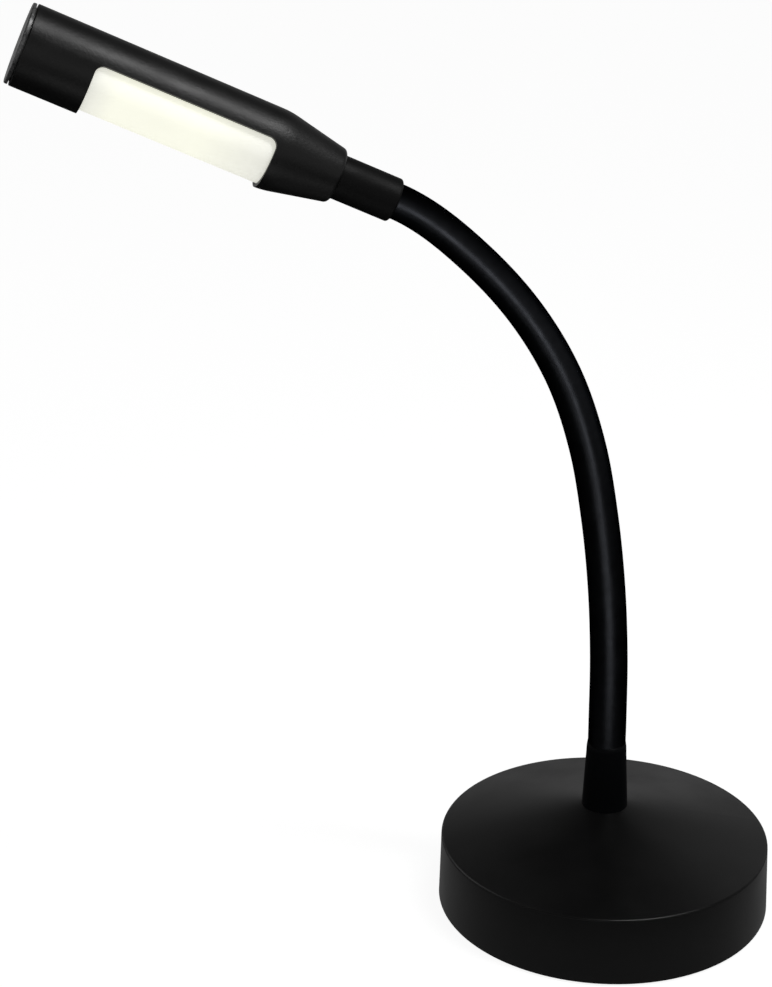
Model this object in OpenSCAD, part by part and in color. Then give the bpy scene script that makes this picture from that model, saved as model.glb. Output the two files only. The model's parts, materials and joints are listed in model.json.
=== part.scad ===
// Desk lamp: a weighted round base, a bendable gooseneck and a tubular LED head.
// Millimetres, +Z up. The origin is the middle of the base, on the table top.
// The neck leans towards -X, and the head points up and away at its end.
// The neck bends at nine pivots. Each section ends in a ball-shaped dome that sits
// in the cup of the next one, so that no section cuts into another as they bend.

/* [Base] */
// Diameter of the base at the foot of its side wall
base_d = 127; // [120:1:140]
// Inward lean of the side wall, in degrees
base_draft = 2; // [0.5:0.1:4]
// Height of the upper edge of the side wall above the table
base_side_h = 26.8; // [25.5:0.1:32]
// Height of the flat seat of the collar above the table
base_peak_h = 40.2; // [38.5:0.1:46]
// Rounding of the upper edge of the side wall
base_edge_r = 0.9; // [0.4:0.1:2]
// Thickness of the cover's wall and roof
cover_wall = 2.4; // [1.8:0.1:3]
// Gap from the table to the cover's lower rim
rim_lift = 0.9; // [0.6:0.1:1.4]
// Thickness of the foot pad
pad_h = 1.6; // [1.2:0.1:2.4]
// Distance of the foot pad's edge from the inside of the cover
pad_inset = 1.5; // [0.5:0.1:6]
// Thickness of the bottom plate
plate_h = 2; // [1.5:0.1:2.5]
// Gap between the base weight and the posts of the plate screws
weight_gap = 1.8; // [1:0.1:6]
// Thickness of the base weight
weight_h = 11; // [8:0.5:12]

/* [Screws] */
// Number of screws that hold the bottom plate
plate_screw_count = 4; // [3:1:6]
// Turn of the plate screws from the inlet's side, in degrees
plate_screw_turn = 45; // [30:1:60]
// Distance of the plate screws from the foot of the base's side wall
plate_screw_inset = 7.5; // [7:0.1:8]
// Wall of the posts that take the plate screws
post_wall = 1.7; // [1.2:0.1:2]
// Diameter of the plate screws
plate_screw_d = 3; // [2.5:0.1:3.5]
// Length of the plate screws under their heads
plate_screw_l = 9; // [6:0.5:12]
// Number of screws that hold the weight
weight_screw_count = 3; // [3:1:4]
// Distance of the weight screws from the middle of the base
weight_screw_ring_r = 30; // [20:1:38]
// Diameter of the weight screws
weight_screw_d = 4; // [3:0.5:5]
// Length of the weight screws under their heads
weight_screw_l = 8; // [6:0.5:10]
// Width of a screw's head, as a multiple of its thread
screw_head_ratio = 2; // [1.6:0.1:2.2]
// Depth of the screw heads above the table
screw_head_lift = 0.3; // [0.2:0.1:0.5]
// Depth of a screw's hole past its tip
screw_tip_gap = 1; // [0.5:0.1:2]

/* [Power inlet] */
// Height of the inlet's axis above the table
jack_z = 19.4; // [19:0.1:20]
// Diameter of the inlet's barrel
jack_d = 9; // [8:0.1:9.2]
// Diameter of the inlet's face flange
jack_flange_d = 12; // [11:0.1:12.5]
// Thickness of the face flange
jack_flange_h = 1.2; // [1:0.1:1.4]
// Depth of the flange's foot inside the foot of the side wall
flange_drop = 2.3; // [2.2:0.1:2.6]
// Length of the inlet's barrel behind its flange
jack_l = 13; // [12:0.5:14]
// Diameter of the plug that the inlet takes
plug_d = 5.5; // [5:0.1:6]
// Depth of the plug hole
plug_depth = 9.5; // [8:0.5:10.5]
// Diameter of the contact pin
jack_pin_d = 2.1; // [1.3:0.1:2.5]
// Depth of the contact pin's tip behind the foot of the flange
pin_recess = 2; // [1:0.1:4]
// Length of the contact pin behind the barrel
pin_tail = 1.5; // [1:0.1:2]
// Length of the cover's boss round the inlet
inlet_boss_l = 7.3; // [5:0.1:9]
// Wall of the cover's boss round the inlet's flange
inlet_boss_wall = 1.5; // [1:0.1:2]

/* [Driver] */
// Gap between the driver board and the inlet's contact pin
driver_end_gap = 2.7; // [1.5:0.1:6]
// Width of the driver board
driver_w = 20; // [16:1:24]
// Thickness of the driver board
driver_h = 1.6; // [1:0.1:2]
// Distance of the driver board's near edge from the middle of the base
driver_gap = 14; // [13:0.5:15]
// Diameter of the coil on the driver board
coil_d = 8; // [6:0.5:9]
// Height of the coil
coil_h = 5.5; // [4:0.5:7]
// Diameter of the capacitor
capacitor_d = 6; // [5:0.5:7]
// Height of the capacitor
capacitor_h = 8; // [6:0.5:10]
// Length of the driver's chip
chip_l = 5; // [4:0.5:6]
// Width of the driver's chip
chip_w = 4; // [3:0.5:5]
// Height of the driver's chip
chip_h = 1.6; // [1:0.1:2]
// Length of the terminal block along the board
terminal_l = 5; // [4:0.5:6]
// Width of the terminal block
terminal_w = 8; // [6:0.5:10]
// Height of the terminal block
terminal_h = 6; // [4:0.5:7]
// Distance of the terminal block from the board's far edge
terminal_inset = 1; // [0.5:0.1:2]
// Diameter of the leads inside the lamp
lead_d = 3.8; // [3:0.1:4]
// Length of a lead past the end of the tube that holds it
lead_tail = 1; // [0.5:0.1:2]
// Radius of the base lead's bend
lead_bend_r = 6; // [5:0.5:7]

/* [Collar] */
// Height of the collar
collar_h = 22.2; // [19:0.1:26]
// Diameter of the collar at its foot
collar_foot_d = 17.4; // [17:0.1:20]
// Diameter of the collar under its bevel
collar_top_d = 15.6; // [15.5:0.1:17]
// Height of the collar's upper bevel
collar_bevel_h = 4.4; // [2:0.1:5]
// Width of the collar's flat top, outside the neck
collar_lip = 0.2; // [0.1:0.1:0.4]
// Depth that the neck's sleeve reaches down into the collar
sleeve_tuck = 5; // [4:0.1:7]
// Depth that the neck's core reaches down into its fitting
core_tuck = 10; // [7:0.5:11]
// Diameter of the fitting's threaded stem
nipple_d = 10; // [9:0.1:10.5]
// Length of the fitting's stem under its nut
nipple_tail = 2; // [1:0.5:3]
// Wall of the fitting's socket round the core
socket_wall = 1.9; // [1.5:0.1:2]
// Width of the fitting's nut across its flats
nipple_nut_w = 17; // [15:0.5:19]
// Height of the fitting's nut
nipple_nut_h = 5; // [4:0.5:6]
// Width of the fitting's washer outside the nut
nipple_washer_rim = 2; // [1:0.1:3]
// Thickness of the fitting's washer
nipple_washer_h = 1; // [0.8:0.1:1.6]
// Width of the cover's boss outside the nut
boss_rim = 3; // [2:0.1:4]
// Height of the cover's boss under its roof
boss_h = 2.4; // [1.5:0.1:3]

/* [Neck] */
// Diameter of the sleeve at the foot of the neck
neck_foot_d = 14.3; // [14:0.1:14.6]
// Diameter of the sleeve at the head end
neck_top_d = 12.4; // [12:0.1:13.4]
// Diameter of the flexible steel core
core_d = 10; // [9:0.1:10.4]
// Bore of the flexible steel core
core_bore = 4.8; // [4.4:0.1:6]
// Free height of the neck between the collar and its first pivot
neck_first_h = 12.1; // [9:0.1:20]
// Length of one neck section from pivot to pivot
neck_pitch = 28.1; // [22:0.1:32]
// Length of the straight last section from its pivot to the ferrule
neck_last_h = 6; // [5:0.1:16]
// Angle that the first section of the neck bends through, in degrees
bend_angle_1 = 1.6; // [0.5:0.1:8]
// Angle that the second section of the neck bends through, in degrees
bend_angle_2 = 4.2; // [0.5:0.1:10]
// Angle that the third section of the neck bends through, in degrees
bend_angle_3 = 2.7; // [0.5:0.1:12]
// Angle that the fourth section of the neck bends through, in degrees
bend_angle_4 = 5.3; // [0.5:0.1:14]
// Angle that the fifth section of the neck bends through, in degrees
bend_angle_5 = 11; // [0.5:0.1:16]
// Angle that the sixth section of the neck bends through, in degrees
bend_angle_6 = 12; // [0.5:0.1:16]
// Angle that the seventh section of the neck bends through, in degrees
bend_angle_7 = 9.7; // [0.5:0.1:16]
// Angle that the eighth section of the neck bends through, in degrees
bend_angle_8 = 8.8; // [0.5:0.1:16]
// Angle of the ferrule and the head above level, in degrees
head_elevation = 24.7; // [20:0.1:32]

/* [Ferrule and swivel] */
// Diameter of the ferrule
ferrule_d = 15.3; // [14.8:0.1:16]
// Length of the ferrule that shows between the neck and the head
ferrule_l = 21.6; // [19:0.1:28]
// Rounding of the ferrule's lower edge
ferrule_edge_r = 0.9; // [0.3:0.1:1]
// Depth of the ferrule inside the head's tail
ferrule_seat = 4; // [3:0.1:5]
// Depth that the sleeve reaches into the ferrule
ferrule_sleeve_tuck = 5; // [4:0.5:7]
// Depth that the core reaches into the ferrule
ferrule_core_tuck = 13; // [9:0.5:14]
// Diameter of the hollow swivel stem
stem_d = 8; // [7:0.1:8.6]
// Length of the swivel stem past its nut
stem_tail = 1.5; // [1:0.1:2.5]
// Width of the swivel nut across its flats
swivel_nut_w = 13; // [11:0.5:14]
// Height of the swivel nut
swivel_nut_h = 4; // [3:0.1:4.5]
// Thickness of the swivel's friction washer
swivel_washer_h = 0.8; // [0.5:0.1:1.2]
// Width of the friction washer outside the nut
swivel_washer_rim = 0.5; // [0.3:0.1:1]
// Turn of the head about its own axis, towards -Y, in degrees
head_turn = 23; // [0:1:60]

/* [Head] */
// Diameter of the head's tube
head_d = 27.8; // [26.8:0.1:29]
// Wall of the head's tube
head_wall = 1.4; // [1:0.1:1.6]
// Length of the head's housing, with its tapered tail
head_l = 111; // [107:0.5:120]
// Diameter of the tail's rounded lip
tail_d = 19.4; // [18.6:0.1:21]
// Length of the tapered tail
tail_l = 22.4; // [19:0.1:24]
// Rounding of the tail's lip
tail_lip_r = 1.7; // [0.8:0.1:1.7]
// Least width of the lip's flat face inside its rounding
tail_lip_flat = 0.2; // [0.1:0.1:0.4]
// Wall of the tapered tail
tail_wall = 2.2; // [1.8:0.1:2.6]
// Radius of the curve from the taper to the tube
tail_blend_r = 30; // [10:1:40]
// Thickness of the wall that the swivel clamps
tail_web = 3.2; // [2.5:0.1:4]
// Rounding of the tube's front edge
front_edge_r = 0.3; // [0.3:0.1:1]
// Distance of the window from the tail's lip
window_start = 24.8; // [24.4:0.1:28]
// Length of the window
window_l = 63; // [50:0.1:64]
// Rounding of the window's corners
window_corner_r = 3; // [1:0.1:5]

/* [Light unit] */
// Wall of the diffuser
diffuser_wall = 1.2; // [0.8:0.1:1.6]
// Length of the diffuser past each end of the window
diffuser_lap = 2.4; // [1:0.1:3]
// Length of the bore between the tail and the diffuser
bore_lead = 1; // [0.5:0.1:1.2]
// Height of the heat sink's flat face above the head's axis
sink_face = 1.6; // [1.4:0.1:2]
// Thickness of the heat sink's plate
sink_plate = 2.6; // [2:0.1:3.4]
// Number of slots between the heat sink's fins
sink_slots = 4; // [2:1:5]
// Width of one slot
sink_slot_w = 2.4; // [1.5:0.1:2.6]
// Thickness of the fin between two slots
fin_w = 1.8; // [1.2:0.1:2.2]
// Thickness of the LED board
board_h = 1.2; // [1:0.1:1.4]
// Width of the LED board
board_w = 19; // [15:0.5:20]
// Distance of the LED board's ends from the heat sink's ends
board_inset = 0.4; // [0.2:0.1:1]
// Diameter of the LED board's screws
board_screw_d = 2; // [1.6:0.1:2.2]
// Length of the LED board's screws under their heads
board_screw_l = 3; // [2.5:0.1:3.4]
// Diameter of the LED board's screw heads
board_screw_head_d = 3.6; // [3:0.1:3.8]
// Thickness of the LED board's screw heads
board_screw_head_h = 1; // [0.8:0.1:1.2]
// Distance of the LED board's screws from its ends
board_screw_inset = 2.4; // [2.2:0.1:2.6]
// LEDs along one row
led_columns = 9; // [5:1:12]
// Length of one LED
led_l = 3.5; // [2:0.1:3.8]
// Width of one LED
led_w = 2.8; // [2:0.1:4]
// Height of one LED
led_h = 0.7; // [0.5:0.1:1]
// Distance between the two rows of LEDs
led_row_gap = 8; // [6:0.5:10]
// Diameter of the lead between the swivel and the LED board
head_lead_d = 3; // [2:0.1:3.6]

/* [Push button] */
// Travel of the push button
button_travel = 0.4; // [0.3:0.1:0.8]
// Thickness of the button's face
button_face_h = 1.2; // [1:0.1:2]
// Distance of the button's edge inside the tube's outside
button_inset = 0.2; // [0.1:0.1:0.6]
// Rounding of the button's edge
button_edge_r = 0.5; // [0.1:0.1:0.5]
// Diameter of the post behind the button's face
button_post_d = 4.4; // [4:0.1:6]
// Length of the button's skirt inside the tube
skirt_l = 10.6; // [9.5:0.1:11]
// Thickness of the button's skirt
skirt_wall = 1.4; // [1:0.1:1.6]
// Width of the lip that holds the skirt under the guide's bead
skirt_lip = 0.55; // [0.4:0.05:0.7]
// Height of the skirt's lip
skirt_lip_h = 1.4; // [1:0.1:1.8]
// Wall of the guide inside the skirt
guide_wall = 1.2; // [1:0.1:1.6]
// Height of the guide's bead
bead_h = 1.5; // [1:0.1:2]
// Thickness of the switch holder's disc
holder_h = 4; // [3:0.5:5]
// Width of the switch
switch_w = 6; // [5:0.5:7]
// Height of the switch's body
switch_h = 3.5; // [3:0.1:4]
// Diameter of the switch's plunger
plunger_d = 3; // [2:0.1:3.4]
// Height of the plunger's foot above the foot of the switch
plunger_lift = 1.8; // [1.5:0.1:2]
// Length of the plunger that stands out of the switch
plunger_rise = 1.5; // [1:0.1:2]

/* [Clearances] */
// Running clearance round a part that turns or slides
run_gap = 0.1; // [0.05:0.01:0.15]
// Clearance round a part that is pushed in and stays
fit_gap = 0.05; // [0.02:0.01:0.1]
// Gap between pieces that follow each other inside the lamp
end_gap = 0.3; // [0.2:0.05:0.4]
// Gap between a section's dome and the next section's cup
cup_gap = 0.2; // [0.15:0.01:0.3]
// Height by which a dome's ball is larger than its sleeve's radius
dome_rise = 0.25; // [0.2:0.01:0.4]

/* [Hidden] */
$fn = 96;
// A little more than nothing, so that a cut runs out past its face
over = 0.5;
// Points on a small rounded corner
arc_steps = 6;
// Points on a fine edge
edge_steps = 3;

// Base, from the table up
base_r = base_d / 2;
base_top_r = base_r - (base_side_h - rim_lift) * tan(base_draft);
collar_foot_r = collar_foot_d / 2;
seat_r = collar_foot_r + run_gap;
cone_slope = atan((base_peak_h - base_side_h) / (base_top_r - seat_r));
plate_screw_ring_r = base_r - plate_screw_inset;
plate_z = pad_h;
plate_top_z = plate_z + plate_h;
plate_r = base_r - cover_wall - run_gap - plate_top_z * tan(base_draft);
weight_top_z = plate_top_z + weight_h;
roof_drop = cover_wall / cos(cone_slope);
boss_r = nipple_nut_w / 2 + boss_rim;
boss_z = base_peak_h - roof_drop - boss_h;
post_r = plate_screw_d / 2 + post_wall;
weight_r = plate_screw_ring_r - post_r - weight_gap;
screw_head_h = pad_h - screw_head_lift;

// Inlet, along +X
flange_x = base_r - flange_drop;
jack_r = jack_d / 2;
plug_r = plug_d / 2 + run_gap / 2;
jack_back_x = flange_x - jack_l;
pin_back_x = jack_back_x - pin_tail;
driver_l = pin_back_x - driver_end_gap - driver_gap;
driver_top_z = weight_top_z + driver_h;

// Collar and the fitting in it
collar_top_z = base_peak_h + collar_h;
nipple_r = nipple_d / 2;
socket_r = core_d / 2 + socket_wall;
socket_top_z = collar_top_z - sleeve_tuck - run_gap;
core_foot_z = collar_top_z - sleeve_tuck - core_tuck;
nipple_nut_z = boss_z - nipple_washer_h - nipple_nut_h;
nipple_foot_z = nipple_nut_z - nipple_tail;
neck_lead_foot_z = nipple_foot_z - lead_tail;
lead_r = lead_d / 2;
lead_bore_r = core_bore / 2;

// Neck: the pivots follow each other along circular arcs
bends = [
    bend_angle_1, bend_angle_2, bend_angle_3, bend_angle_4,
    bend_angle_5, bend_angle_6, bend_angle_7, bend_angle_8
];
last = len(bends) + 1;
first_pivot = [0, 0, collar_top_z + neck_first_h];
function heading(i) = i == 1 ? 0 : i == last ? 90 - head_elevation : heading(i - 1) + bends[i - 2];
function along(angle) = [-sin(angle), 0, cos(angle)];
function arc_r(i) = neck_pitch * 180 / (PI * bends[i - 1]);
function chord(i) = 2 * arc_r(i) * sin(bends[i - 1] / 2) * along(heading(i) + bends[i - 1] / 2);
function pivot(i) = i == 1 ? first_pivot : pivot(i - 1) + chord(i - 1);
function sleeve_r(i) = (neck_foot_d + (neck_top_d - neck_foot_d) * i / last) / 2;
function dome_r(i) = sleeve_r(i) + dome_rise;
head_heading = heading(last);
ferrule_at = pivot(last) + neck_last_h * along(head_heading);

// Head, measured along its own axis from the lower edge of the ferrule
ferrule_r = ferrule_d / 2;
ferrule_end = ferrule_l + ferrule_seat - run_gap;
lip_at = ferrule_l;
lip_r = min(tail_lip_r, tail_d / 2 - ferrule_r - run_gap - tail_lip_flat);
web_at = lip_at + ferrule_seat;
chamber_at = web_at + tail_web;
head_r = head_d / 2;
bore_r = head_r - head_wall;
tail_r = tail_d / 2;
tail_end = lip_at + tail_l;
front_at = lip_at + head_l;
stem_r = stem_d / 2;
stem_foot = ferrule_core_tuck + end_gap;
swivel_washer_at = chamber_at + run_gap;
swivel_nut_at = swivel_washer_at + swivel_washer_h;
stem_end = swivel_nut_at + swivel_nut_h + stem_tail;
stem_lead_end = stem_end + lead_tail;
window_at = lip_at + window_start;
window_end = window_at + window_l;

// Light unit in the tube
diffuser_r = bore_r - fit_gap;
diffuser_at = window_at - diffuser_lap;
diffuser_l = window_l + 2 * diffuser_lap;
board_face = sink_face - board_h;
board_at = diffuser_at + board_inset;
board_l = diffuser_l - 2 * board_inset;
board_screw_r = board_screw_d / 2;
unit_end = diffuser_at + diffuser_l;

// Push button in the front end
holder_at = unit_end + end_gap;
switch_at = holder_at + holder_h;
button_at = front_at + button_travel + run_gap;
skirt_end = button_at - skirt_l;
skirt_r = bore_r - run_gap;
guide_r = skirt_r - skirt_wall - skirt_lip - run_gap;
bead_at = skirt_end + skirt_lip_h + run_gap;
plunger_foot = switch_at + plunger_lift;
plunger_end = switch_at + switch_h + plunger_rise;

// Points of an arc about a centre, from one angle to another
function arc(centre, r, from, to, steps = arc_steps) =
    [for (k = [0 : steps]) let (a = from + (to - from) * k / steps) centre + r * [cos(a), sin(a)]];

// A hexagon by its width across the flats
module hexagon(width) {
    circle(d = width / cos(30), $fn = 6);
}

// Children copied round the Z axis
module ring_of(count, r, turn = 0) {
    for (k = [0 : count - 1])
        rotate([0, 0, turn + k * 360 / count]) translate([r, 0, 0]) children();
}

// Children placed at each screw of the bottom plate
module at_plate_screws() {
    ring_of(plate_screw_count, plate_screw_ring_r, plate_screw_turn) children();
}

// Children placed at each screw of the base weight
module at_weight_screws() {
    ring_of(weight_screw_count, weight_screw_ring_r) children();
}

// Children placed along the inlet's axis, which points to +X
module at_inlet(x) {
    translate([x, 0, jack_z]) rotate([0, 90, 0]) children();
}

// Children placed on the head's axis; turned ones follow the head's own turn
module on_head(turned = true) {
    translate(ferrule_at) rotate([0, -head_heading, 0]) rotate([0, 0, turned ? head_turn : 0]) children();
}

// ---- Base ----

// Outline of the cover, from its rim over the edge to the collar's seat, then back inside
module cover_outline() {
    wall_out = [cos(base_draft), sin(base_draft)];
    roof_out = [sin(cone_slope), cos(cone_slope)];
    corner = [base_top_r, base_side_h];
    edge_at = corner - base_edge_r * (wall_out + roof_out) / (1 + wall_out * roof_out);
    inner_top_r = base_top_r - cover_wall;
    inner_top_z = base_side_h + cover_wall * tan(cone_slope) - roof_drop;
    polygon(concat(
        [[base_r - cover_wall, rim_lift], [base_r, rim_lift]],
        arc(edge_at, base_edge_r, base_draft, 90 - cone_slope),
        [
            [seat_r, base_peak_h],
            [nipple_r + fit_gap, base_peak_h],
            [nipple_r + fit_gap, boss_z],
            [boss_r, boss_z],
            [boss_r, base_peak_h - (boss_r - seat_r) * tan(cone_slope) - roof_drop],
            [inner_top_r, inner_top_z]
        ]
    ));
}

// Cone through the middle of the side wall, which trims what stands inside the cover
module inside_wall() {
    intersection() {
        children();
        cylinder(r1 = base_r - cover_wall / 2, r2 = base_top_r - cover_wall / 2, h = base_side_h);
    }
}

// Blind hole from the bottom plate's top face for the thread of one screw
module thread_hole(d, l) {
    translate([0, 0, plate_top_z - over])
        cylinder(d = d + 2 * fit_gap, h = l - plate_h + screw_tip_gap + over);
}

module base_cover() color("#1c1c1e") {
    difference() {
        union() {
            rotate_extrude() cover_outline();
            inside_wall() at_plate_screws()
                translate([0, 0, plate_top_z]) cylinder(r = post_r, h = base_side_h - plate_top_z);
            inside_wall() at_inlet(base_r - inlet_boss_l)
                cylinder(d = jack_flange_d + 2 * inlet_boss_wall, h = inlet_boss_l);
        }
        at_plate_screws() thread_hole(plate_screw_d, plate_screw_l);
        at_inlet(jack_back_x) cylinder(r = jack_r + fit_gap, h = 2 * jack_l);
        at_inlet(flange_x) cylinder(d = jack_flange_d + 2 * run_gap, h = jack_l);
    }
}

module base_weight() color("#4a4a4c") {
    difference() {
        translate([0, 0, plate_top_z]) cylinder(r = weight_r, h = weight_h);
        at_weight_screws() thread_hole(weight_screw_d, weight_screw_l);
    }
}

module base_plate() color("#3a3a3c") {
    difference() {
        translate([0, 0, plate_z]) cylinder(r = plate_r, h = plate_h);
        at_plate_screws() plate_hole(plate_screw_d);
        at_weight_screws() plate_hole(weight_screw_d);
    }
}

// Through hole in the bottom plate for one screw
module plate_hole(d) {
    translate([0, 0, plate_z - over]) cylinder(d = d + 2 * run_gap, h = plate_h + 2 * over);
}

module foot_pad() color("#151515") {
    difference() {
        cylinder(r = base_r - cover_wall - pad_inset, h = pad_h);
        at_plate_screws() pad_hole(plate_screw_d);
        at_weight_screws() pad_hole(weight_screw_d);
    }
}

// Hole in the foot pad for one screw head
module pad_hole(d) {
    translate([0, 0, -over]) cylinder(d = screw_head_ratio * d + 2 * run_gap, h = pad_h + 2 * over);
}

// Pan-head screw that points up from under the bottom plate
module pan_screw(d, l) {
    translate([0, 0, plate_z - screw_head_h]) cylinder(d = screw_head_ratio * d, h = screw_head_h);
    translate([0, 0, plate_z]) cylinder(d = d, h = l);
}

module plate_screws() color("#8a8a8c")
    at_plate_screws() pan_screw(plate_screw_d, plate_screw_l);

module weight_screws() color("#8a8a8c")
    at_weight_screws() pan_screw(weight_screw_d, weight_screw_l);

// ---- Power inlet and driver ----

module power_jack() color("#222222") {
    difference() {
        union() {
            at_inlet(jack_back_x) cylinder(r = jack_r, h = jack_l);
            at_inlet(flange_x) cylinder(d = jack_flange_d, h = jack_flange_h);
        }
        at_inlet(flange_x + jack_flange_h - plug_depth) cylinder(r = plug_r, h = plug_depth + over);
        at_inlet(jack_back_x - over) cylinder(d = jack_pin_d + 2 * fit_gap, h = jack_l);
    }
}

module jack_pin() color("#c9a84c")
    at_inlet(pin_back_x) cylinder(d = jack_pin_d, h = flange_x - pin_recess - pin_back_x);

module driver_board() color("#1f5a35")
    translate([driver_gap, -driver_w / 2, weight_top_z]) cube([driver_l, driver_w, driver_h]);

// Coil, capacitor, chip and terminal block, all standing on the driver board
module driver_parts() color("#6b6b70")
    translate([driver_gap, 0, driver_top_z]) {
        translate([0.2 * driver_l, -0.2 * driver_w, 0]) cylinder(d = coil_d, h = coil_h);
        translate([0.45 * driver_l, 0.22 * driver_w, 0]) cylinder(d = capacitor_d, h = capacitor_h);
        translate([0.45 * driver_l, -0.35 * driver_w, 0]) cube([chip_l, chip_w, chip_h]);
        translate([driver_l - terminal_inset - terminal_l, -terminal_w / 2, 0])
            cube([terminal_l, terminal_w, terminal_h]);
    }

// Lead from the driver board to the foot of the neck's fitting
module base_lead() color("#2b2b2b") {
    lead_z = weight_top_z + lead_r + run_gap;
    bend_z = lead_z + lead_bend_r;
    translate([0, 0, bend_z]) cylinder(r = lead_r, h = neck_lead_foot_z - end_gap - bend_z);
    translate([lead_bend_r, 0, bend_z]) rotate([90, 0, 0]) rotate([0, 0, 180])
        rotate_extrude(angle = 90) translate([lead_bend_r, 0]) circle(r = lead_r);
    translate([lead_bend_r, 0, lead_z]) rotate([0, 90, 0])
        cylinder(r = lead_r, h = driver_gap - run_gap - lead_bend_r);
}

// ---- Collar and the neck's fitting ----

module neck_nipple() color("#b08d4a")
    rotate_extrude() polygon([
        [lead_bore_r, nipple_foot_z],
        [nipple_r, nipple_foot_z],
        [nipple_r, base_peak_h],
        [socket_r, base_peak_h],
        [socket_r, socket_top_z],
        [core_d / 2 + fit_gap, socket_top_z],
        [core_d / 2 + fit_gap, core_foot_z - run_gap],
        [lead_bore_r, core_foot_z - run_gap]
    ]);

module nipple_washer() color("#9a9a9c")
    translate([0, 0, boss_z - nipple_washer_h]) difference() {
        cylinder(r = nipple_nut_w / 2 + nipple_washer_rim, h = nipple_washer_h);
        translate([0, 0, -over]) cylinder(r = nipple_r + fit_gap, h = nipple_washer_h + 2 * over);
    }

module nipple_nut() color("#9a9a9c")
    translate([0, 0, nipple_nut_z]) difference() {
        linear_extrude(nipple_nut_h) hexagon(nipple_nut_w);
        translate([0, 0, -over]) cylinder(r = nipple_r + fit_gap, h = nipple_nut_h + 2 * over);
    }

module base_collar() color("#161617") {
    sleeve_hole_r = sleeve_r(0) + fit_gap;
    rotate_extrude() polygon([
        [socket_r + fit_gap, base_peak_h],
        [collar_foot_r, base_peak_h],
        [collar_top_d / 2, collar_top_z - collar_bevel_h],
        [sleeve_hole_r + collar_lip, collar_top_z],
        [sleeve_hole_r, collar_top_z],
        [sleeve_hole_r, collar_top_z - sleeve_tuck],
        [socket_r + fit_gap, collar_top_z - sleeve_tuck]
    ]);
}

// ---- Neck ----

// Children placed at a pivot, with Z along the neck there
module at_pivot(i) {
    translate(pivot(i)) rotate([0, -heading(i), 0]) children();
}

// Ring-shaped bar along one section: upright on the lowest, curved between the
// pivots, straight into the ferrule on the last one. Each runs on past its end.
module neck_bar(i, r, bore, foot, tuck) {
    if (i == 0)
        translate([0, 0, foot]) linear_extrude(first_pivot.z - foot + 2 * r) ring_outline(r, bore);
    else if (i < last)
        at_pivot(i) translate([-arc_r(i), 0, 0]) rotate([90, 0, 0])
            rotate_extrude(angle = bends[i - 1] * (1 + 2 * dome_r(i) / neck_pitch))
                translate([arc_r(i), 0]) ring_outline(r, bore);
    else
        at_pivot(i) linear_extrude(neck_last_h + tuck) ring_outline(r, bore);
}

module ring_outline(r, bore) {
    difference() {
        circle(r = r);
        if (bore > 0) circle(r = bore);
    }
}

// One section of one layer of the neck: a cup at its foot, a dome at its top
module neck_section(i, r, bore, foot, tuck) {
    difference() {
        neck_bar(i, r, bore, foot, tuck);
        if (i > 0) at_pivot(i) sphere(r = dome_r(i - 1) + cup_gap);
        if (i < last) at_pivot(i + 1) difference() {
            cylinder(r = 3 * dome_r(i), h = 4 * dome_r(i));
            sphere(r = dome_r(i));
        }
    }
}

module neck_sleeve(i) color("#0e0f12")
    neck_section(i, sleeve_r(i), core_d / 2 + fit_gap, collar_top_z - sleeve_tuck, ferrule_sleeve_tuck);

module neck_core(i) color("#7d7f83")
    neck_section(i, core_d / 2, lead_bore_r, core_foot_z, ferrule_core_tuck);

module neck_lead(i) color("#2b2b2b")
    neck_section(i, lead_r, 0, neck_lead_foot_z, stem_lead_end);

// ---- Ferrule and swivel ----

module head_ferrule() color("#1a1a1b") {
    sleeve_hole_r = sleeve_r(last) + fit_gap;
    core_hole_r = core_d / 2 + fit_gap;
    on_head(false) rotate_extrude() polygon(concat(
        [[sleeve_hole_r, 0]],
        arc([ferrule_r - ferrule_edge_r, ferrule_edge_r], ferrule_edge_r, -90, 0),
        [
            [ferrule_r, ferrule_end],
            [stem_r + fit_gap, ferrule_end],
            [stem_r + fit_gap, stem_foot - run_gap],
            [core_hole_r, stem_foot - run_gap],
            [core_hole_r, ferrule_sleeve_tuck + run_gap],
            [sleeve_hole_r, ferrule_sleeve_tuck + run_gap]
        ]
    ));
}

module swivel_stem() color("#b08d4a")
    on_head(false) difference() {
        translate([0, 0, stem_foot]) cylinder(r = stem_r, h = stem_end - stem_foot);
        translate([0, 0, stem_foot - over]) cylinder(r = lead_bore_r, h = stem_end - stem_foot + 2 * over);
    }

module swivel_washer() color("#9a9a9c")
    on_head(false) translate([0, 0, swivel_washer_at]) difference() {
        cylinder(d = swivel_nut_w + 2 * swivel_washer_rim, h = swivel_washer_h);
        translate([0, 0, -over]) cylinder(r = stem_r + fit_gap, h = swivel_washer_h + 2 * over);
    }

module swivel_nut() color("#9a9a9c")
    on_head(false) translate([0, 0, swivel_nut_at]) difference() {
        linear_extrude(swivel_nut_h) hexagon(swivel_nut_w);
        translate([0, 0, -over]) cylinder(r = stem_r + fit_gap, h = swivel_nut_h + 2 * over);
    }

// ---- Head ----

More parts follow.
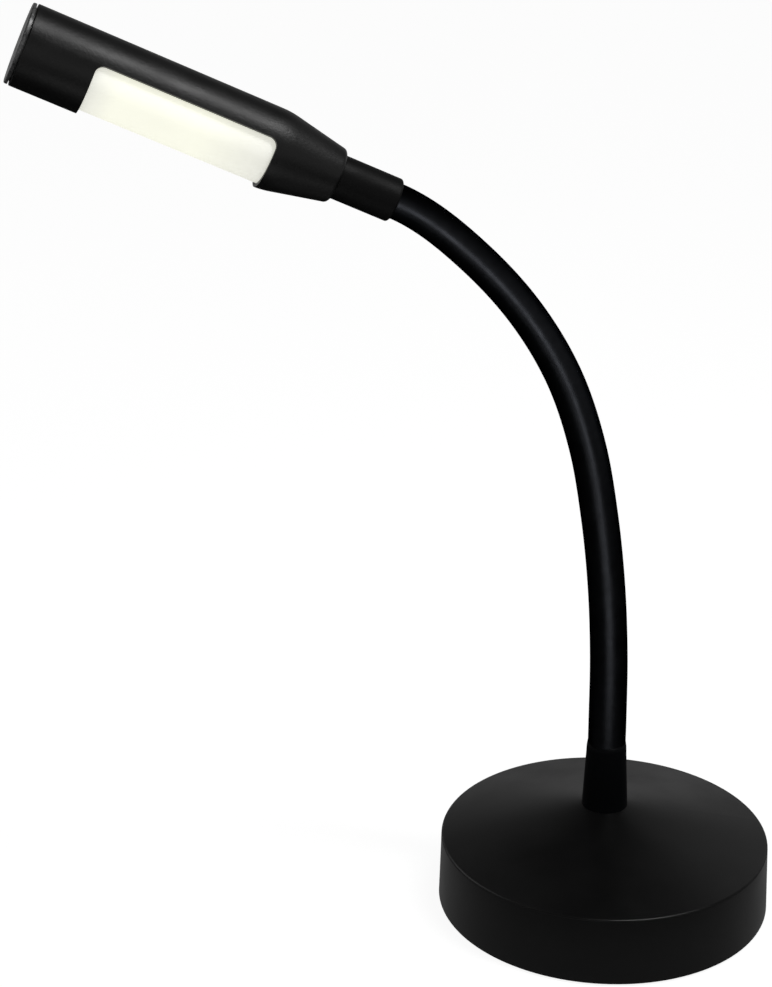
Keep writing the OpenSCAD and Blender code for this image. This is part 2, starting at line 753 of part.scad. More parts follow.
// Outline of the housing: rounded lip, tapered tail, tube, then the chamber inside
module housing_outline() {
    taper = atan((head_r - tail_r) / (tail_l - lip_r));
    blend_l = tail_blend_r * tan(taper / 2);
    chamber_r = tail_r + (chamber_at - lip_at - lip_r) * tan(taper) - tail_wall;
    polygon(concat(
        [[ferrule_r + run_gap, lip_at]],
        arc([tail_r - lip_r, lip_at + lip_r], lip_r, -90, -taper),
        arc([head_r - tail_blend_r, tail_end + blend_l], tail_blend_r, -taper, 0),
        arc([head_r - front_edge_r, front_at - front_edge_r], front_edge_r, 0, 90, edge_steps),
        [
            [bore_r, front_at],
            [bore_r, diffuser_at - bore_lead],
            [chamber_r, chamber_at],
            [stem_r + run_gap, chamber_at],
            [stem_r + run_gap, web_at],
            [ferrule_r + run_gap, web_at]
        ]
    ));
}

// Side view of the window: open below the head's axis, with rounded upper corners
module window_outline() {
    depth = 2 * head_r;
    translate([-depth, window_at]) square([depth - window_corner_r, window_l]);
    translate([-depth, window_at + window_corner_r]) square([depth, window_l - 2 * window_corner_r]);
    for (at = [window_at + window_corner_r, window_end - window_corner_r])
        translate([-window_corner_r, at]) circle(r = window_corner_r);
}

module head_housing() color("#1d1d1f")
    on_head() difference() {
        rotate_extrude() housing_outline();
        rotate([90, 0, 0]) linear_extrude(4 * head_r, center = true) window_outline();
    }

module diffuser() color("#fbfaf2")
    on_head() translate([0, 0, diffuser_at]) difference() {
        cylinder(r = diffuser_r, h = diffuser_l);
        translate([0, 0, -over]) cylinder(r = diffuser_r - diffuser_wall, h = diffuser_l + 2 * over);
        translate([sink_face - 2 * run_gap, -head_r, -over]) cube([head_r, head_d, diffuser_l + 2 * over]);
    }

// Cross-section of the heat sink: a plate with fins that follow the bore
module sink_outline() {
    slot_pitch = sink_slot_w + fin_w;
    difference() {
        intersection() {
            circle(r = diffuser_r);
            translate([sink_face, -head_r]) square([head_r, head_d]);
        }
        for (k = [0 : sink_slots - 1])
            translate([sink_face + sink_plate, (k - (sink_slots - 1) / 2) * slot_pitch - sink_slot_w / 2])
                square([head_r, sink_slot_w]);
    }
}

// Children placed at both screws of the LED board, with Z into the heat sink
module at_board_screws() {
    for (q = [board_at + board_screw_inset, board_at + board_l - board_screw_inset])
        translate([board_face, 0, q]) rotate([0, 90, 0]) children();
}

module heat_sink() color("#a9abae")
    on_head() difference() {
        translate([0, 0, diffuser_at]) linear_extrude(diffuser_l) sink_outline();
        at_board_screws() cylinder(r = board_screw_r + fit_gap, h = board_screw_l + end_gap);
    }

module led_board() color("#e8e8e4")
    on_head() difference() {
        translate([board_face, -board_w / 2, board_at]) cube([board_h, board_w, board_l]);
        at_board_screws() translate([0, 0, -over])
            cylinder(r = board_screw_r + fit_gap, h = board_h + 2 * over);
    }

module leds() color("#f2dc7a")
    on_head() for (k = [0 : led_columns - 1], side = [-1, 1])
        translate([
            board_face - led_h,
            side * led_row_gap / 2 - led_w / 2,
            window_at + (k + 0.5) * window_l / led_columns - led_l / 2
        ]) cube([led_h, led_w, led_l]);

module board_screws() color("#9a9a9c")
    on_head() at_board_screws() {
        translate([0, 0, -board_screw_head_h]) cylinder(d = board_screw_head_d, h = board_screw_head_h);
        cylinder(r = board_screw_r, h = board_screw_l);
    }

module head_lead() color("#2b2b2b")
    on_head() translate([0, 0, stem_lead_end + end_gap])
        cylinder(d = head_lead_d, h = board_at - run_gap - stem_lead_end - end_gap);

// ---- Push button ----

module switch_holder() color("#2a2a2c")
    on_head() rotate_extrude() polygon([
        [0, holder_at],
        [diffuser_r, holder_at],
        [diffuser_r, switch_at],
        [guide_r, switch_at],
        [guide_r, bead_at],
        [guide_r + skirt_lip, bead_at],
        [guide_r + skirt_lip, bead_at + bead_h],
        [guide_r - guide_wall, bead_at + bead_h],
        [guide_r - guide_wall, switch_at],
        [0, switch_at]
    ]);

module switch_body() color("#111111")
    on_head() difference() {
        translate([-switch_w / 2, -switch_w / 2, switch_at]) cube([switch_w, switch_w, switch_h]);
        translate([0, 0, plunger_foot - button_travel - run_gap])
            cylinder(d = plunger_d + 2 * run_gap, h = switch_h);
    }

module switch_plunger() color("#d8d8d8")
    on_head() translate([0, 0, plunger_foot]) cylinder(d = plunger_d, h = plunger_end - plunger_foot);

// Face disc, skirt that slides in the tube and catches under the bead, and centre post
module push_button() color("#6a6a6c") {
    face_r = head_r - button_inset;
    face_end = button_at + button_face_h;
    button_post_r = button_post_d / 2;
    on_head() rotate_extrude() polygon(concat(
        [
            [0, plunger_end],
            [button_post_r, plunger_end],
            [button_post_r, button_at],
            [skirt_r - skirt_wall, button_at],
            [skirt_r - skirt_wall, skirt_end + skirt_lip_h],
            [skirt_r - skirt_wall - skirt_lip, skirt_end + skirt_lip_h],
            [skirt_r - skirt_wall - skirt_lip, skirt_end],
            [skirt_r, skirt_end],
            [skirt_r, button_at],
            [face_r, button_at]
        ],
        arc([face_r - button_edge_r, face_end - button_edge_r], button_edge_r, 0, 90, edge_steps),
        [[0, face_end]]
    ));
}

// ---- Nodes ----

base_cover();
base_weight();
base_plate();
foot_pad();
plate_screws();
weight_screws();
neck_nipple();
nipple_washer();
nipple_nut();
base_collar();
power_jack();
jack_pin();
driver_board();
driver_parts();
base_lead();
for (i = [0 : last]) {
    neck_sleeve(i);
    neck_core(i);
    neck_lead(i);
}
head_ferrule();
swivel_stem();
swivel_washer();
swivel_nut();
head_housing();
diffuser();
heat_sink();
led_board();
leds();
board_screws();
head_lead();
switch_holder();
switch_body();
switch_plunger();
push_button();
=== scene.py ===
"""Looks of a gooseneck desk lamp: black base, smooth neck and lit tubular head."""
import json
import math

import bpy
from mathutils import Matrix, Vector

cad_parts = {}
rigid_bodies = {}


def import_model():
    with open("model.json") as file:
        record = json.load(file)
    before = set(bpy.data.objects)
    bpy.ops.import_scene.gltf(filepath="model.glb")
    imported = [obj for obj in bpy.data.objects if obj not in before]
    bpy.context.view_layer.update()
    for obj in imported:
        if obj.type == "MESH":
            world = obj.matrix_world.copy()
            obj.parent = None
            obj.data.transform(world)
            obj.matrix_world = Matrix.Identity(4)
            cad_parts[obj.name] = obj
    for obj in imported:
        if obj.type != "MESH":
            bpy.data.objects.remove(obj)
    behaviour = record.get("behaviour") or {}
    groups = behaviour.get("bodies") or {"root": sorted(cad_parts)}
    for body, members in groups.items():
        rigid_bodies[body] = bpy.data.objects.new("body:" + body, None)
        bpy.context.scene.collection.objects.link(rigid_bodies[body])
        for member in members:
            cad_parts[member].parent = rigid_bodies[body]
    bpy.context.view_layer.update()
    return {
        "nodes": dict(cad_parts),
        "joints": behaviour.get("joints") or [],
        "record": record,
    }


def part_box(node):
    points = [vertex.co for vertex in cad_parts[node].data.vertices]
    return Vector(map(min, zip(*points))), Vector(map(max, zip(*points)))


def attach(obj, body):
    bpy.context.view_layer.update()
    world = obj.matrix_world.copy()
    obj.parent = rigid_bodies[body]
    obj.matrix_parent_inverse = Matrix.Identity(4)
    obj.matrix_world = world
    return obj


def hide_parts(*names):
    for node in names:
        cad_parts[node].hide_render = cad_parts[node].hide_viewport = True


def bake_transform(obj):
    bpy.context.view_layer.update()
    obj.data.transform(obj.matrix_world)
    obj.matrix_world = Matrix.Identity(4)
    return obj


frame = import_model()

nodes = frame["nodes"]
joints = {j["name"]: j for j in frame["joints"]}

# ---------------------------------------------------------------- sizes, in metres
CAMERA_AT = (-0.18583, -0.68033, 0.42934)
CAMERA_TURN_DEG = (69.5, 0.31, -8.61)
CAMERA_LENS_MM = 75.17
SENSOR_MM = 36.0

SLEEVE_FOOT_R = 0.00715
SLEEVE_TOP_R = 0.0062
SLEEVE_TUCK = 0.0045
TUBE_SIDES = 72
RING_STEP = 0.0008
NECK_SECTIONS = 9
DIFFUSER_LAP = 0.0024
# Lengths over which the diffuser's glow fades at each end: painted shade from the tube's wall.
SWIVEL_END_FADE = 0.0228
FRONT_END_FADE = 0.0095

COLLAR_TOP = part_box("base_collar")[1].z
HEAD_AXIS = -Vector(joints["button_press"]["axis"])
HEAD_AT = Vector(joints["head_swivel"]["pos_m"])


# ---------------------------------------------------------------- materials
class Finish:
    """A material with its shader, and short calls for the nodes that feed it."""

    def __init__(self, name, colour, roughness, metallic=0.0, specular=0.5):
        self.material = bpy.data.materials.new(name)
        self.material.use_nodes = True
        self.nodes = self.material.node_tree.nodes
        self.links = self.material.node_tree.links
        self.shader = self.nodes["Principled BSDF"]
        self.shader.inputs["Base Color"].default_value = (*colour, 1.0)
        self.shader.inputs["Roughness"].default_value = roughness
        self.shader.inputs["Metallic"].default_value = metallic
        self.shader.inputs["Specular IOR Level"].default_value = specular
        self.colour = colour
        self.roughness = roughness
        self.place = self.nodes.new("ShaderNodeTexCoord").outputs["Object"]

    def node(self, kind, inputs=None, **settings):
        made = self.nodes.new(kind)
        for key, value in settings.items():
            setattr(made, key, value)
        for key, value in (inputs or {}).items():
            if isinstance(value, bpy.types.NodeSocket):
                self.links.new(value, made.inputs[key])
            else:
                made.inputs[key].default_value = value
        return made

    def noise(self, scale, detail=3.0, stretch=(1.0, 1.0, 1.0)):
        """Noise of about 1 / scale metres; stretch above 1 packs it closer along that axis."""
        place = self.node("ShaderNodeMapping", {"Vector": self.place, "Scale": stretch})
        return self.node("ShaderNodeTexNoise", {
            "Vector": place.outputs["Vector"], "Scale": scale, "Detail": detail,
        }).outputs["Fac"]

    def range(self, value, from_min, from_max, to_min, to_max):
        return self.node("ShaderNodeMapRange", {
            "Value": value, "From Min": from_min, "From Max": from_max, "To Min": to_min, "To Max": to_max,
        }).outputs["Result"]

    def mix(self, factor, first, second):
        made = self.node("ShaderNodeMix", data_type="RGBA")
        for index, value in ((0, factor), (6, first), (7, second)):
            if isinstance(value, bpy.types.NodeSocket):
                self.links.new(value, made.inputs[index])
            else:
                made.inputs[index].default_value = value if index == 0 else (*value, 1.0)
        return made.outputs[2]

    def vary_roughness(self, source, spread):
        self.links.new(
            self.range(source, 0.3, 0.7, self.roughness - spread, self.roughness + spread),
            self.shader.inputs["Roughness"],
        )

    def vary_colour(self, source, other, low=0.35, high=0.65):
        current = self.shader.inputs["Base Color"]
        first = current.links[0].from_socket if current.links else self.colour
        self.links.new(self.mix(self.range(source, low, high, 0.0, 1.0), first, other), current)

    def bump(self, source, height, strength=1.0):
        """Raises the surface by up to that height in metres; a second call adds to the first."""
        current = self.shader.inputs["Normal"]
        made = self.node("ShaderNodeBump", {"Height": source, "Distance": height, "Strength": strength})
        if current.links:
            self.links.new(current.links[0].from_socket, made.inputs["Normal"])
        self.links.new(made.outputs["Normal"], current)


DUST_GREY = (0.06, 0.06, 0.06)


def moulded(name, colour, roughness, specular=0.3, dust=0.0):
    """Moulded plastic: a fine grain, cloudy gloss and, where asked for, specks of dust."""
    finish = Finish(name, colour, roughness, specular=specular)
    finish.vary_colour(finish.noise(60.0), tuple(c * 1.35 for c in colour))
    finish.vary_roughness(finish.noise(38.0, 4.0), 0.04)
    finish.bump(finish.noise(2600.0, 2.0), 0.00002, 0.6)
    if dust:
        finish.vary_colour(finish.noise(900.0, 1.0), DUST_GREY, 1.0 - dust, 1.0 - dust + 0.03)
    return finish.material


def rubber(name, colour, roughness):
    """Rubber or soft plastic: dull, with a fine uneven skin."""
    finish = Finish(name, colour, roughness, specular=0.2)
    finish.vary_roughness(finish.noise(120.0, 4.0), 0.05)
    finish.vary_colour(finish.noise(300.0), tuple(c * 1.5 for c in colour))
    finish.bump(finish.noise(1500.0, 4.0), 0.00004, 0.5)
    return finish.material


def sleeve_rubber(name, gloss, roughness):
    """Deep black silicone: a metallic shader with a black edge tint, so that it mirrors weakly all round."""
    finish = Finish(name, gloss, roughness, metallic=1.0)
    finish.shader.inputs["Specular Tint"].default_value = (0.0, 0.0, 0.0, 1.0)
    finish.vary_roughness(finish.noise(120.0, 4.0), 0.04)
    finish.vary_colour(finish.noise(300.0), tuple(c * 1.2 for c in gloss))
    finish.bump(finish.noise(1500.0, 4.0), 0.00003, 0.4)
    return finish.material


def metal(name, colour, roughness, stretch=(1.0, 1.0, 12.0), scale=500.0, metallic=1.0):
    """Metal with fine tool marks drawn out along one axis."""
    finish = Finish(name, colour, roughness, metallic=metallic)
    marks = finish.noise(scale, 5.0, stretch)
    finish.vary_roughness(marks, 0.1)
    finish.vary_colour(marks, tuple(c * 0.75 for c in colour))
    finish.bump(marks, 0.00001, 0.4)
    return finish.material


def along_head(finish, start, end):
    """0 to 1 along the head's own axis, between two distances from its swivel."""
    moved = finish.node("ShaderNodeVectorMath", {0: finish.place, 1: HEAD_AT}, operation="SUBTRACT")
    along = finish.node("ShaderNodeVectorMath", {0: moved.outputs["Vector"], 1: HEAD_AXIS},
                        operation="DOT_PRODUCT")
    return finish.range(along.outputs["Value"], start, end, 0.0, 1.0)


def anodised(name, colour, roughness, specular):
    """Black anodised tube: satin, with the fine sparkle of a blasted surface."""
    finish = Finish(name, colour, roughness, specular=specular)
    grain = finish.noise(3200.0, 2.0)
    finish.vary_roughness(finish.noise(90.0, 5.0), 0.05)
    finish.vary_colour(grain, tuple(c * 2.2 for c in colour), 0.5, 0.8)
    finish.bump(grain, 0.00003, 0.55)
    finish.bump(finish.noise(900.0, 3.0), 0.00012, 0.5)
    return finish.material


def cloudy_cap(name, colour, roughness):
    """Hand-brushed end disc: blotchy grey, drawn out up and down; the streaks are partly brushing marks and
    partly a painted reflection.
    """
    finish = Finish(name, colour, roughness, metallic=0.6)
    marks = finish.noise(330.0, 4.0, (1.0, 0.8, 1.0))
    finish.vary_roughness(marks, 0.12)
    # Darker and lighter streaks in the colour: partly brushing marks, partly painted reflection.
    finish.vary_colour(marks, tuple(c * 0.4 for c in colour), 0.42, 0.62)
    finish.vary_colour(finish.noise(1400.0, 2.0), tuple(c * 1.7 for c in colour), 0.5, 0.7)
    finish.bump(marks, 0.00002, 0.4)
    return finish.material


# Glow and colour at the diffuser's ends and middle; the weaker, less warm ends are painted shade.
SHADED_END_GLOW, MIDDLE_GLOW = 0.5, 0.67
SHADED_END_WHITE, MIDDLE_WHITE = (1.0, 1.0, 0.88), (1.0, 1.0, 0.81)


def lit_diffuser(name):
    """Opal tube wall: it glows warm white, and less strongly and less warm towards both ends, which is
    painted shade where the tube's wall shades the ends.
    """
    finish = Finish(name, (0.9, 0.9, 0.88), 0.5)
    places = [(vertex.co - HEAD_AT).dot(HEAD_AXIS) for vertex in nodes["diffuser"].data.vertices]
    window_start, window_end = min(places) + DIFFUSER_LAP, max(places) - DIFFUSER_LAP
    first = along_head(finish, window_start, window_start + SWIVEL_END_FADE)
    second = along_head(finish, window_end, window_end - FRONT_END_FADE)
    inside = finish.node("ShaderNodeMath", {0: first, 1: second}, operation="MULTIPLY").outputs["Value"]
    cloud = finish.range(finish.noise(45.0), 0.3, 0.7, 0.97, 1.0)
    glow = finish.range(inside, 0.0, 1.0, SHADED_END_GLOW, MIDDLE_GLOW)
    strength = finish.node("ShaderNodeMath", {0: glow, 1: cloud}, operation="MULTIPLY").outputs["Value"]
    finish.links.new(finish.mix(inside, SHADED_END_WHITE, MIDDLE_WHITE), finish.shader.inputs["Emission Color"])
    finish.links.new(strength, finish.shader.inputs["Emission Strength"])
    finish.bump(finish.noise(900.0), 0.00002, 0.3)
    return finish.material


FINISHES = {
    "base_black": moulded("satin_plastic", (0.0022, 0.0022, 0.0023), 0.33, dust=0.16),
    "sleeve_black": sleeve_rubber("silicone", (0.0175, 0.0185, 0.021), 0.36),
    "ferrule_black": anodised("ferrule_matt", (0.0016, 0.0016, 0.0016), 0.52, 0.17),
    "head_black": anodised("head_satin", (0.0018, 0.0018, 0.0018), 0.43, 0.43),
    "diffuser_white": lit_diffuser("opal_lit"),
    "button_metal": cloudy_cap("brushed_end", (0.13, 0.13, 0.13), 0.45),
    "weight_iron": metal("bare_casting", (0.16, 0.16, 0.17), 0.7, (1.0, 1.0, 1.0), 700.0, 0.7),
    "plate_black": moulded("plate_plastic", (0.02, 0.02, 0.02), 0.55),
    "pad_rubber": rubber("foam_rubber", (0.012, 0.012, 0.012), 0.85),
    "steel": metal("zinc_plate", (0.5, 0.5, 0.51), 0.35),
    "brass": metal("turned_brass", (0.62, 0.43, 0.18), 0.3),
    "jack_black": moulded("inlet_plastic", (0.012, 0.012, 0.012), 0.4),
    "board_green": moulded("board_lacquer", (0.02, 0.11, 0.045), 0.35),
    "component_grey": moulded("components", (0.14, 0.14, 0.15), 0.5),
    "lead_black": rubber("lead_insulation", (0.015, 0.015, 0.015), 0.5),
    "core_steel": metal("spring_steel", (0.35, 0.35, 0.36), 0.4, (1.0, 1.0, 20.0), 120.0),
    "sink_aluminium": metal("extrusion", (0.68, 0.68, 0.7), 0.35, (1.0, 12.0, 12.0), 300.0),
    "board_white": moulded("white_mask", (0.8, 0.8, 0.77), 0.4),
    "led_yellow": moulded("phosphor", (0.9, 0.75, 0.3), 0.4),
    "holder_black": moulded("holder_plastic", (0.02, 0.02, 0.02), 0.5),
    "plunger_white": moulded("plunger_plastic", (0.75, 0.75, 0.75), 0.45),
}
# The collar is duller than the base whose slot it shares.
COLLAR_FINISH = moulded("collar_plastic", (0.0014, 0.0017, 0.0022), 0.5, specular=0.07)


def dress_nodes():
    slot_of = {s["node"]: s["material_slot"] for s in frame["record"]["subparts"]}
    for name, piece in nodes.items():
        finish = COLLAR_FINISH if name == "base_collar" else FINISHES[slot_of[name]]
        piece.data.materials.clear()
        piece.data.materials.append(finish)


# ---------------------------------------------------------------- collar's soft bevel
# Section of the ring, as (radius, height) from the base's middle.
BEVEL = (
    (0.0070, 0.0570), (0.00783, 0.0570), (0.00782, 0.0573), (0.00772, 0.0603), (0.00766, 0.0609),
    (0.00752, 0.0648), (0.00722, 0.0668), (0.0070, 0.0668),
)


def collar_bevel():
    """The soft shoulder by which the collar runs out on the sleeve: BEVEL turned round the neck."""
    verts, faces = [], []
    for radius, height in BEVEL:
        for k in range(TUBE_SIDES):
            angle = 2 * math.pi * k / TUBE_SIDES
            verts.append((radius * math.cos(angle), radius * math.sin(angle), height))
    for r in range(len(BEVEL)):
        for k in range(TUBE_SIDES):
            a, b = r * TUBE_SIDES, (r + 1) % len(BEVEL) * TUBE_SIDES
            n = (k + 1) % TUBE_SIDES
            faces.append((a + k, a + n, b + n, b + k))
    piece = mesh_piece("collar_bevel", verts, faces, COLLAR_FINISH)
    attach(piece, "base")


# ---------------------------------------------------------------- neck sleeve
def neck_points():
    """Points that the neck's middle line goes through: collar, nine pivots, ferrule."""
    pivots = [j for j in frame["joints"] if j["type"] == "hinge" and j["name"] != "head_swivel"]
    return [Vector((0, 0, COLLAR_TOP))] + [Vector(j["pos_m"]) for j in pivots] + [HEAD_AT]


def neck_curve(points, at):
    """Point and direction of a smooth curve through the points, at a place counted in points.

    The last pivot lies close to the ferrule, so the last two spans are one curve that ends along the head.
    """
    k = min(int(at), len(points) - 3)
    t = at - k
    a, b = points[k], points[k + 1]
    before = Vector((0, 0, 1)) if k == 0 else ((b - points[k - 1]).normalized())
    if k == len(points) - 3:
        share = (b - a).length / ((b - a).length + (points[-1] - b).length)
        t = t * share if t < 1 else share + (t - 1) * (1 - share)
        b, after = points[-1], HEAD_AXIS
    else:
        after = (points[k + 2] - a).normalized()
    span = (b - a).length
    m, n = before * span, after * span
    place = (2 * t**3 - 3 * t**2 + 1) * a + (t**3 - 2 * t**2 + t) * m \
        + (3 * t**2 - 2 * t**3) * b + (t**3 - t**2) * n
    way = (6 * t**2 - 6 * t) * a + (3 * t**2 - 4 * t + 1) * m \
        + (6 * t - 6 * t**2) * b + (3 * t**2 - 2 * t) * n
    return place, way.normalized()


def mesh_piece(name, verts, faces, finish):
    mesh = bpy.data.meshes.new(name)
    mesh.from_pydata([tuple(v) for v in verts], [], faces)
    mesh.shade_smooth()
    mesh.materials.append(finish)
    piece = bpy.data.objects.new(name, mesh)
    bpy.context.scene.collection.objects.link(piece)
    return piece


def tube(name, rings, finish, capped=(False, False)):
    """Tube through rings of (middle, direction, radius); capped says which of its two ends get a cap."""
    verts, faces = [], []
    side = Vector((0, 1, 0))
    for middle, way, radius in rings:
        across = way.cross(side).normalized()
        for k in range(TUBE_SIDES):
            angle = 2 * math.pi * k / TUBE_SIDES
            verts.append(middle + radius * (math.cos(angle) * across + math.sin(angle) * side))
    for r in range(len(rings) - 1):
        for k in range(TUBE_SIDES):
            a, b = r * TUBE_SIDES + k, r * TUBE_SIDES + (k + 1) % TUBE_SIDES
            faces.append((a, b, b + TUBE_SIDES, a + TUBE_SIDES))
    if capped[0]:
        faces.append(tuple(range(TUBE_SIDES)))
    if capped[1]:
        top = (len(rings) - 1) * TUBE_SIDES
        faces.append(tuple(top + k for k in reversed(range(TUBE_SIDES))))
    return mesh_piece(name, verts, faces, finish)


def neck_sleeve():
    """The sleeve, in pieces from the middle of one section to the middle of the next."""
    points = neck_points()
    whole = len(points) - 1

    def ring(at):
        """One ring; past either end of the curve it goes on straight, into the collar or the ferrule."""
        on_curve = min(max(at, 0.0), float(whole))
        place, way = neck_curve(points, on_curve)
        beyond = (at - on_curve) * SLEEVE_TUCK
        share = min(max((at - 1) / (whole - 2), 0.0), 1.0)
        return place + way * beyond, way, SLEEVE_FOOT_R + (SLEEVE_TOP_R - SLEEVE_FOOT_R) * share

    for k in range(1, NECK_SECTIONS + 1):
        first = 0.0 if k == 1 else k - 0.5
        final = whole if k == NECK_SECTIONS else k + 0.5
        pitch = (points[min(k + 1, whole)] - points[k - 1]).length / 2
        steps = math.ceil((final - first) * pitch / RING_STEP)
        places = [first + (final - first) * s / steps for s in range(steps + 1)]
        if k == 1:
            places.insert(0, -1.0)
        if k == NECK_SECTIONS:
            places.append(whole + 1.0)
        piece = tube(f"sleeve_{k}", [ring(at) for at in places], FINISHES["sleeve_black"],
                     (k == 1, k == NECK_SECTIONS))
        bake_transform(piece)
        replaced = [f"neck_sleeve_{k}"] + (["neck_sleeve_0"] if k == 1 else [])
        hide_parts(*replaced)


# ---------------------------------------------------------------- stage, light and camera
FLOOR_SIZE = 12.0
PALE_FLOOR = 0.85
# To the camera the floor glows nearly white, and its weak shade carries the shadow.
FLOOR_GLOW = 0.91
FLOOR_SHADE = 0.22
# Mirrored, it is grey near the base, dark round that, and as bright as the room's foot far off.
FLOOR_IN_GLOSS = 0.21
DARK_FLOOR = 0.015
NEAR_FLOOR = (0.09, 0.16)
FAR_FLOOR = (0.9, 1.5)
ROOM_LIGHT = 0.35
# Mirrored, the room gets darker from its foot up to this height on a sphere of radius 1.
ROOM_LOW, ROOM_HIGH = 0.5, 0.02
DARK_ABOVE = 0.75


def rays(tree):
    """A Light Path node's camera and glossy flags, glass counting as glossy."""
    path = tree.nodes.new("ShaderNodeLightPath")
    gloss = tree.nodes.new("ShaderNodeMath")
    gloss.operation = "MAXIMUM"
    tree.links.new(path.outputs["Is Glossy Ray"], gloss.inputs[0])
    tree.links.new(path.outputs["Is Transmission Ray"], gloss.inputs[1])
    return path.outputs["Is Camera Ray"], gloss.outputs["Value"]


def mix_shaders(tree, factor, first, second):
    made = tree.nodes.new("ShaderNodeMixShader")
    tree.links.new(factor, made.inputs[0])
    tree.links.new(first, made.inputs[1])
    tree.links.new(second, made.inputs[2])
    return made.outputs["Shader"]


def fade(tree, value, start, end, at_start, at_end):
    """A smooth change from one value to another, as the input goes from start to end."""
    made = tree.nodes.new("ShaderNodeMapRange")
    made.interpolation_type = "SMOOTHSTEP"
    tree.links.new(value, made.inputs["Value"])
    for name, number in (("From Min", start), ("From Max", end), ("To Min", at_start), ("To Max", at_end)):
        made.inputs[name].default_value = number
    return made.outputs["Result"]


def floor():
    """Pale floor: nearly white to the camera, but for the object's own soft shadow."""
    finish = bpy.data.materials.new("pale_floor")
    finish.use_nodes = True
    tree = finish.node_tree
    tree.nodes.clear()
    out = tree.nodes.new("ShaderNodeOutputMaterial")
    pale = tree.nodes.new("ShaderNodeBsdfDiffuse")
    pale.inputs["Color"].default_value = (PALE_FLOOR, PALE_FLOOR, PALE_FLOOR, 1.0)
    shade = tree.nodes.new("ShaderNodeBsdfDiffuse")
    shade.inputs["Color"].default_value = (FLOOR_SHADE, FLOOR_SHADE, FLOOR_SHADE, 1.0)
    glow = tree.nodes.new("ShaderNodeEmission")
    glow.inputs["Strength"].default_value = FLOOR_GLOW
    seen = tree.nodes.new("ShaderNodeAddShader")
    tree.links.new(shade.outputs["BSDF"], seen.inputs[0])
    tree.links.new(glow.outputs["Emission"], seen.inputs[1])
    place = tree.nodes.new("ShaderNodeNewGeometry")
    distance = tree.nodes.new("ShaderNodeVectorMath")
    distance.operation = "LENGTH"
    tree.links.new(place.outputs["Position"], distance.inputs[0])
    mirrored = tree.nodes.new("ShaderNodeEmission")
    near = fade(tree, distance.outputs["Value"], *NEAR_FLOOR, FLOOR_IN_GLOSS, DARK_FLOOR)
    far = fade(tree, distance.outputs["Value"], *FAR_FLOOR, 0.0, ROOM_LOW)
    both = tree.nodes.new("ShaderNodeMath")
    tree.links.new(near, both.inputs[0])
    tree.links.new(far, both.inputs[1])
    tree.links.new(both.outputs["Value"], mirrored.inputs["Strength"])
    camera_ray, gloss = rays(tree)
    shader = mix_shaders(tree, gloss, pale.outputs["BSDF"], mirrored.outputs["Emission"])
    tree.links.new(mix_shaders(tree, camera_ray, shader, seen.outputs["Shader"]), out.inputs["Surface"])
    half = FLOOR_SIZE / 2
    corners = [(-half, -half, 0), (half, -half, 0), (half, half, 0), (-half, half, 0)]
    piece = mesh_piece("floor", corners, [(0, 1, 2, 3)], finish)


def room():
    """White to the camera; in reflections a dim room that is darker above."""
    world = bpy.data.worlds.new("studio")
    bpy.context.scene.world = world
    world.use_nodes = True
    tree = world.node_tree
    tree.nodes.clear()
    out = tree.nodes.new("ShaderNodeOutputWorld")
    camera_ray, gloss = rays(tree)
    way = tree.nodes.new("ShaderNodeTexCoord")
    parts = tree.nodes.new("ShaderNodeSeparateXYZ")
    tree.links.new(way.outputs["Generated"], parts.inputs["Vector"])
    mirrored = fade(tree, parts.outputs["Z"], 0.0, DARK_ABOVE, ROOM_LOW, ROOM_HIGH)
    light, reflection, backdrop = [tree.nodes.new("ShaderNodeBackground") for _ in range(3)]
    light.inputs["Strength"].default_value = ROOM_LIGHT
    backdrop.inputs["Strength"].default_value = 1.0
    tree.links.new(mirrored, reflection.inputs["Strength"])
    shader = mix_shaders(tree, gloss, light.outputs["Background"], reflection.outputs["Background"])
    shader = mix_shaders(tree, camera_ray, shader, backdrop.outputs["Background"])
    tree.links.new(shader, out.inputs["Surface"])


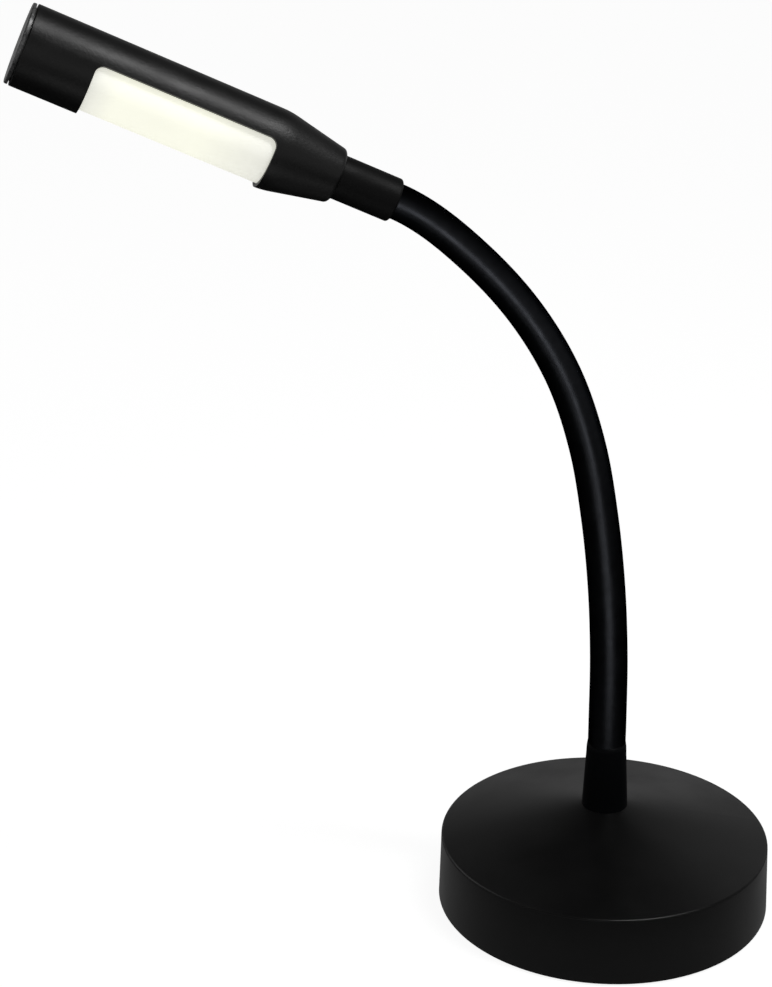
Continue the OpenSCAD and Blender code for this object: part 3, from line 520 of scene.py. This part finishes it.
def softbox(name, at, target, width, height, power, only=None, but=None):
    """A rectangular lamp; only or but name the pieces that it lights or leaves out, by how they start."""
    light = bpy.data.lights.new(name, "AREA")
    light.shape = "RECTANGLE"
    light.size, light.size_y = width, height
    light.energy = power
    lamp = bpy.data.objects.new(name, light)
    lamp.location = at
    lamp.rotation_euler = (Vector(target) - Vector(at)).to_track_quat("-Z", "Y").to_euler()
    lamp.visible_camera = False
    bpy.context.scene.collection.objects.link(lamp)
    if only or but:
        lit = bpy.data.collections.new(f"lit_by_{name}")
        for piece in bpy.data.objects:
            if piece.name.startswith(only) if only else not piece.name.startswith(but):
                lit.objects.link(piece)
        lamp.light_linking.receiver_collection = lit


def lights():
    head = (-0.15, 0.0, 0.31)
    neck = (-0.02, 0.0, 0.18)
    softbox("key", (0.29, -0.25, 1.03), head, 0.1, 0.5, 3.7, but="sleeve_")
    softbox("neck_card", (0.03, -0.55, 0.08), neck, 0.15, 0.24, 0.68, "sleeve_")
    softbox("neck_foot_card", (-0.03, -0.2, 0.004), (0.0, 0.0, 0.09), 0.12, 0.12, 0.09, "sleeve_")
    softbox("fill", (-0.5, -1.2, 0.5), neck, 0.4, 0.4, 0.12)
    softbox("back_left", (-0.5, 0.45, 0.6), (0.0, 0.0, 0.03), 0.4, 0.5, 0.9, "base_cover")
    softbox("back_right", (0.6, 0.45, 0.6), (0.0, 0.0, 0.03), 0.4, 0.5, 0.26, "base_cover")
    softbox("under_card", (-0.17, -0.2, 0.02), head, 0.3, 0.2, 0.16, "head_")


def camera():
    lens = bpy.data.cameras.new("photo_camera")
    lens.sensor_fit = "VERTICAL"
    lens.sensor_height = SENSOR_MM
    lens.sensor_width = SENSOR_MM
    lens.lens = CAMERA_LENS_MM
    eye = bpy.data.objects.new("photo_camera", lens)
    eye.location = CAMERA_AT
    eye.rotation_euler = [math.radians(a) for a in CAMERA_TURN_DEG]
    bpy.context.scene.collection.objects.link(eye)
    bpy.context.scene.camera = eye


bpy.context.scene.view_settings.view_transform = "Standard"
camera()
dress_nodes()
neck_sleeve()
collar_bevel()
floor()
room()
lights()
